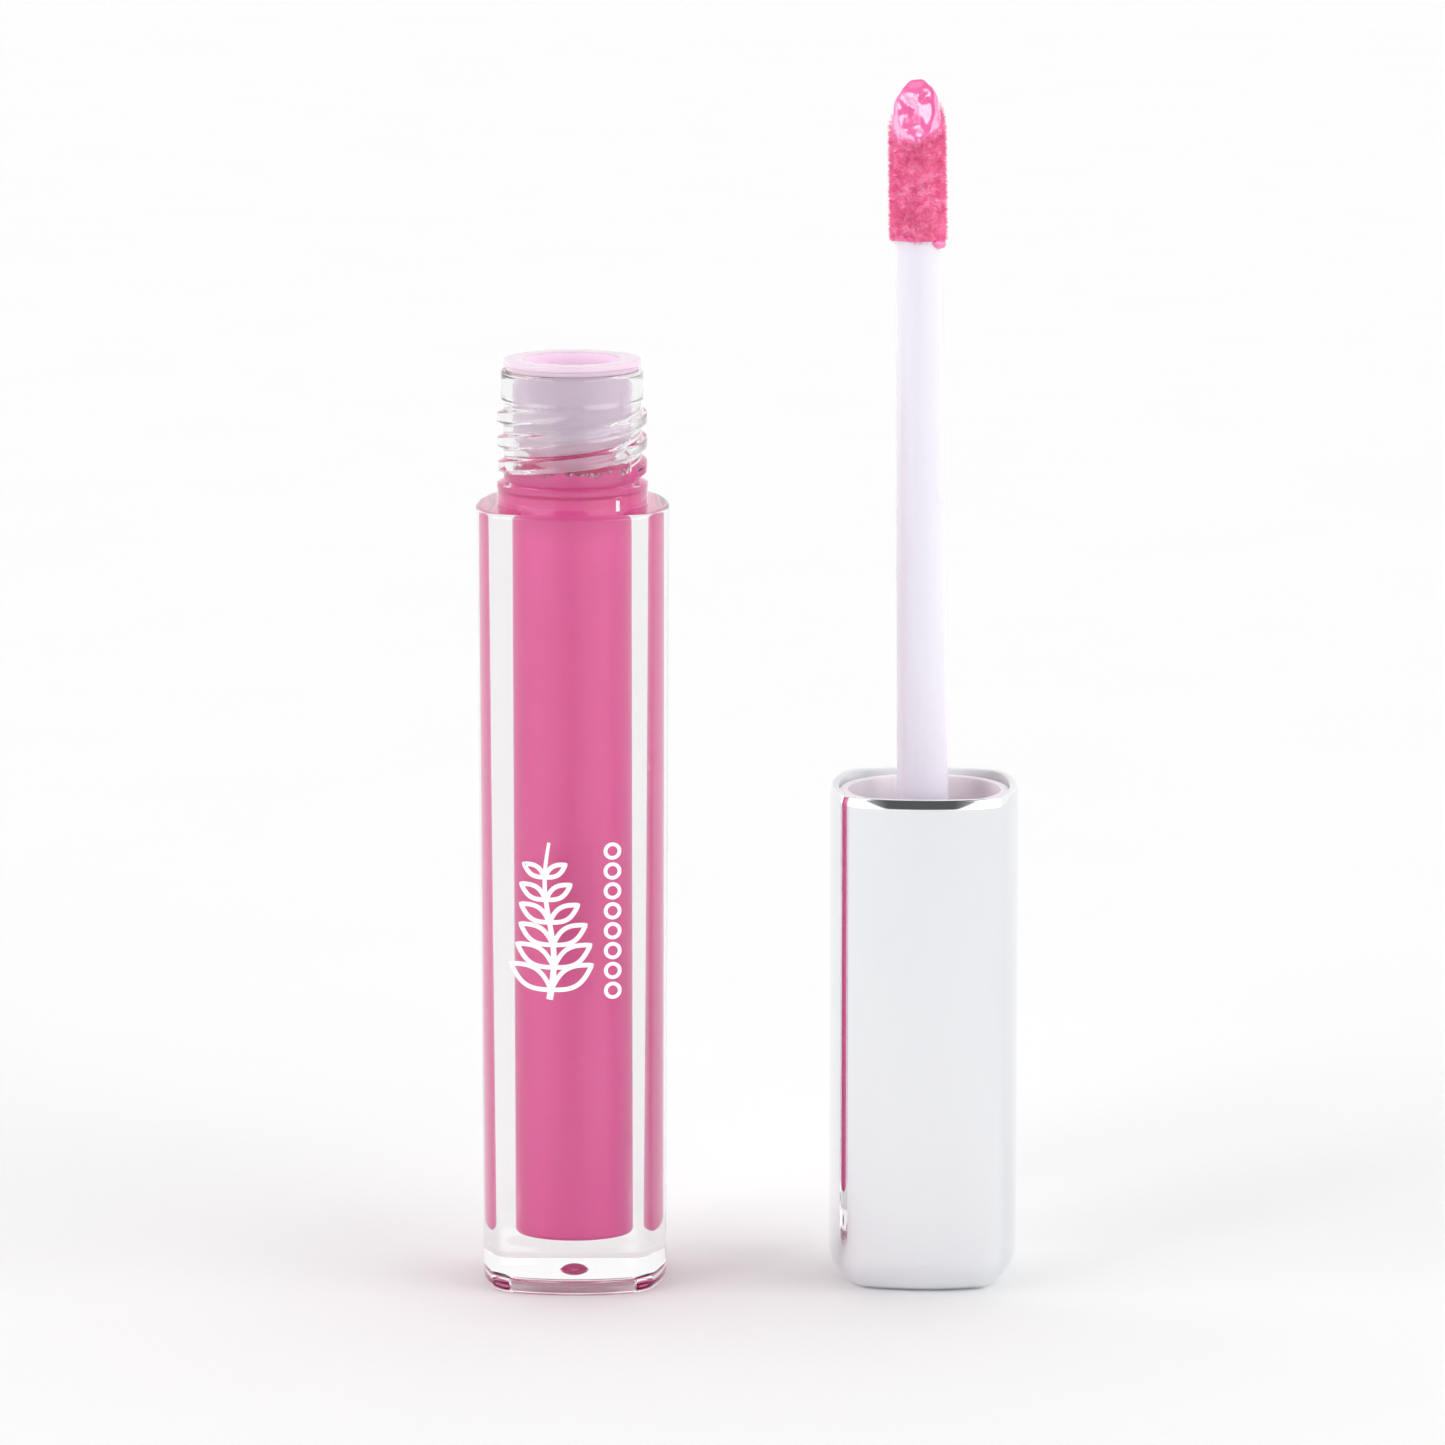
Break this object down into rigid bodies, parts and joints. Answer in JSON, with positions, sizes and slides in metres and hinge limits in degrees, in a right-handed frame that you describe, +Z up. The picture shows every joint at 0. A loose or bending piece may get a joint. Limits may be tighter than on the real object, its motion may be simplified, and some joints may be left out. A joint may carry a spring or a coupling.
{
  "type": "lip gloss tube",
  "caption": "Open lip gloss tube: clear thick-walled rounded-square bottle with a screw neck, and beside it a silver cap standing upside down with its stem and flocked slanted tip.",
  "frame": {"origin": "centre of the bottle's foot, on the surface that the bottle and the cap stand on", "axes": "+Z up along the bottle's axis and out of its mouth, +X from the bottle to the applicator beside it, -Y towards the viewer"},
  "size_m": [0.0487, 0.0172, 0.109],
  "materials": {
    "clear_bottle": "clear, glossy, thick-walled",
    "wiper_plastic": "soft translucent, stained faintly pink",
    "gloss": "opaque pink fluid with a soft sheen",
    "silver_shell": "mirror silver",
    "white_plastic": "white, satin",
    "gasket_foam": "soft foam",
    "stem_plastic": "translucent white, faintly pink",
    "core_plastic": "soft plastic",
    "flock": "short dense flock, stained pink",
    "wet_gloss": "wet, high gloss"
  },
  "bodies": {
    "bottle": {"bottle": "clear_bottle", "wiper": "wiper_plastic", "gloss_fill": "gloss"},
    "seal": {"sealing_gasket": "gasket_foam"},
    "applicator": {"over_shell": "silver_shell", "inner_cap": "white_plastic", "wand_stem": "stem_plastic", "tip_core": "core_plastic", "tip_flock": "flock", "gloss_coat": "wet_gloss"}
  },
  "joints": [
    {"name": "applicator_lift", "type": "slide", "parent": "bottle", "child": "seal", "axis": [0, 0, 1], "range_m": [0, 0.077]},
    {"name": "cap_turn", "type": "hinge", "parent": "seal", "child": "applicator", "pos_m": [0.0316, 0, 0.03215], "axis": [0, 0, 1], "continuous": true}
  ]
}
